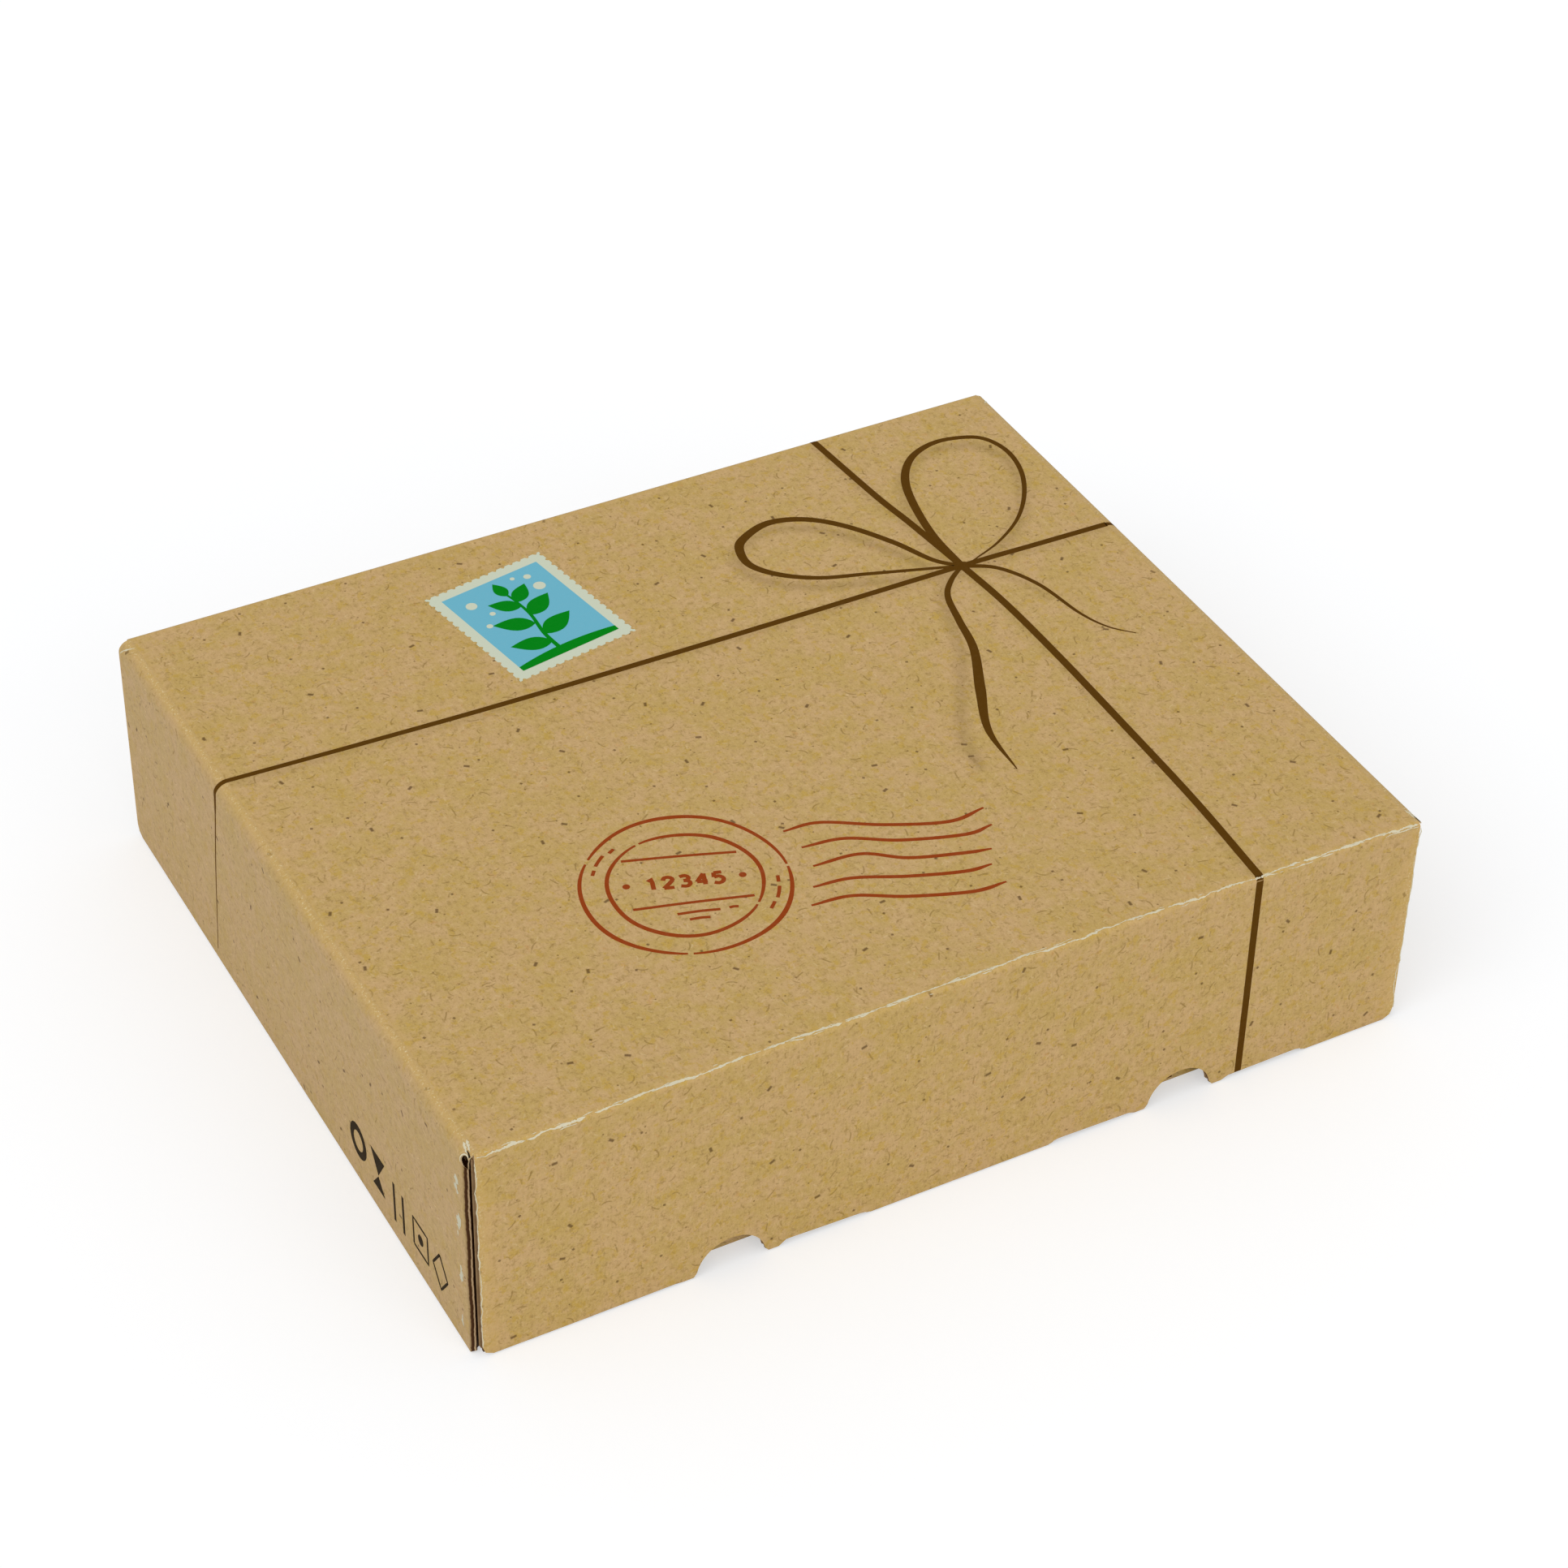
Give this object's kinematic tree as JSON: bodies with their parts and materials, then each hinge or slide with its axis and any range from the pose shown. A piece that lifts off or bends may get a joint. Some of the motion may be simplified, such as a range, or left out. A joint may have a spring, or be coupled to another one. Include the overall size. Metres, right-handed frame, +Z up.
{
  "type": "gift mailer box",
  "caption": "Shallow corrugated-board gift box with a hinged lid, fold-out side walls and a front flap with lock tabs and finger notches.",
  "frame": {"origin": "middle of the bottom face of the base, which stands on the table", "axes": "+X to the right along the long side, +Y from the front flap to the lid's hinge, +Z up"},
  "size_m": [0.35, 0.29, 0.087],
  "materials": {
    "printed_liner": "matt, printed kraft",
    "plain_liner": "matt",
    "fluted_paper": "matt",
    "crease": "matt, cracked"
  },
  "bodies": {
    "base": {"bottom_panel_outer_liner": "printed_liner", "bottom_panel_flutes": "fluted_paper", "bottom_panel_inner_liner": "plain_liner", "back_wall_outer_liner": "printed_liner", "back_wall_flutes": "fluted_paper", "back_wall_inner_liner": "plain_liner", "base_front_wall_outer_liner": "printed_liner", "base_front_wall_flutes": "fluted_paper", "base_front_wall_inner_liner": "plain_liner", "base_left_wall_outer_liner": "printed_liner", "base_left_wall_flutes": "fluted_paper", "base_left_wall_inner_liner": "plain_liner", "base_right_wall_outer_liner": "printed_liner", "base_right_wall_flutes": "fluted_paper", "base_right_wall_inner_liner": "plain_liner", "base_front_ears_outer_liner": "printed_liner", "base_front_ears_flutes": "fluted_paper", "base_front_ears_inner_liner": "plain_liner", "base_rear_ears_outer_liner": "printed_liner", "base_rear_ears_flutes": "fluted_paper", "base_rear_ears_inner_liner": "plain_liner", "bottom_front_crease": "crease", "bottom_rear_crease": "crease", "bottom_left_crease": "crease", "bottom_right_crease": "crease", "base_ear_creases": "crease"},
    "lid": {"top_panel_outer_liner": "printed_liner", "top_panel_flutes": "fluted_paper", "top_panel_inner_liner": "plain_liner", "lid_rear_crease": "crease", "lid_front_crease": "crease", "lid_left_crease": "crease", "lid_right_crease": "crease"},
    "front_flap": {"front_flap_outer_liner": "printed_liner", "front_flap_flutes": "fluted_paper", "front_flap_inner_liner": "plain_liner", "lock_tab_creases": "crease"},
    "left_wall": {"lid_left_wall_outer_liner": "printed_liner", "lid_left_wall_flutes": "fluted_paper", "lid_left_wall_inner_liner": "plain_liner", "left_ear_crease": "crease"},
    "right_wall": {"lid_right_wall_outer_liner": "printed_liner", "lid_right_wall_flutes": "fluted_paper", "lid_right_wall_inner_liner": "plain_liner", "right_ear_crease": "crease"},
    "left_ear": {"left_ear_outer_liner": "printed_liner", "left_ear_flutes": "fluted_paper", "left_ear_inner_liner": "plain_liner"},
    "right_ear": {"right_ear_outer_liner": "printed_liner", "right_ear_flutes": "fluted_paper", "right_ear_inner_liner": "plain_liner"},
    "left_lock_tabs": {"left_lock_tabs_outer_liner": "printed_liner", "left_lock_tabs_flutes": "fluted_paper", "left_lock_tabs_inner_liner": "plain_liner"},
    "right_lock_tabs": {"right_lock_tabs_outer_liner": "printed_liner", "right_lock_tabs_flutes": "fluted_paper", "right_lock_tabs_inner_liner": "plain_liner"}
  },
  "joints": [
    {"name": "lid_hinge", "type": "hinge", "parent": "base", "child": "lid", "pos_m": [0, 0.1435, 0.0855], "axis": [-1, 0, 0], "range_deg": [0, 110]},
    {"name": "flap_hinge", "type": "hinge", "parent": "lid", "child": "front_flap", "pos_m": [0, -0.1435, 0.0855], "axis": [-1, 0, 0], "range_deg": [0, 90]},
    {"name": "left_wall_hinge", "type": "hinge", "parent": "lid", "child": "left_wall", "pos_m": [-0.1735, 0, 0.0855], "axis": [0, 1, 0], "range_deg": [0, 90]},
    {"name": "right_wall_hinge", "type": "hinge", "parent": "lid", "child": "right_wall", "pos_m": [0.1735, 0, 0.0855], "axis": [0, -1, 0], "range_deg": [0, 90]},
    {"name": "left_ear_hinge", "type": "hinge", "parent": "left_wall", "child": "left_ear", "pos_m": [-0.1735, -0.139, 0.0435], "axis": [0, 0, -1], "range_deg": [0, 90]},
    {"name": "right_ear_hinge", "type": "hinge", "parent": "right_wall", "child": "right_ear", "pos_m": [0.1735, -0.139, 0.0435], "axis": [0, 0, 1], "range_deg": [0, 90]},
    {"name": "left_tabs_hinge", "type": "hinge", "parent": "front_flap", "child": "left_lock_tabs", "pos_m": [-0.085, -0.1419, 0.0066], "axis": [-1, 0, 0], "range_deg": [0, 180]},
    {"name": "right_tabs_hinge", "type": "hinge", "parent": "front_flap", "child": "right_lock_tabs", "pos_m": [0.085, -0.1419, 0.0066], "axis": [-1, 0, 0], "range_deg": [0, 180]}
  ],
  "couplings": [
    {"joint": "left_ear_hinge", "follows": "flap_hinge", "ratio": 1},
    {"joint": "right_ear_hinge", "follows": "flap_hinge", "ratio": 1},
    {"joint": "left_tabs_hinge", "follows": "flap_hinge", "ratio": 2},
    {"joint": "right_tabs_hinge", "follows": "flap_hinge", "ratio": 2}
  ]
}
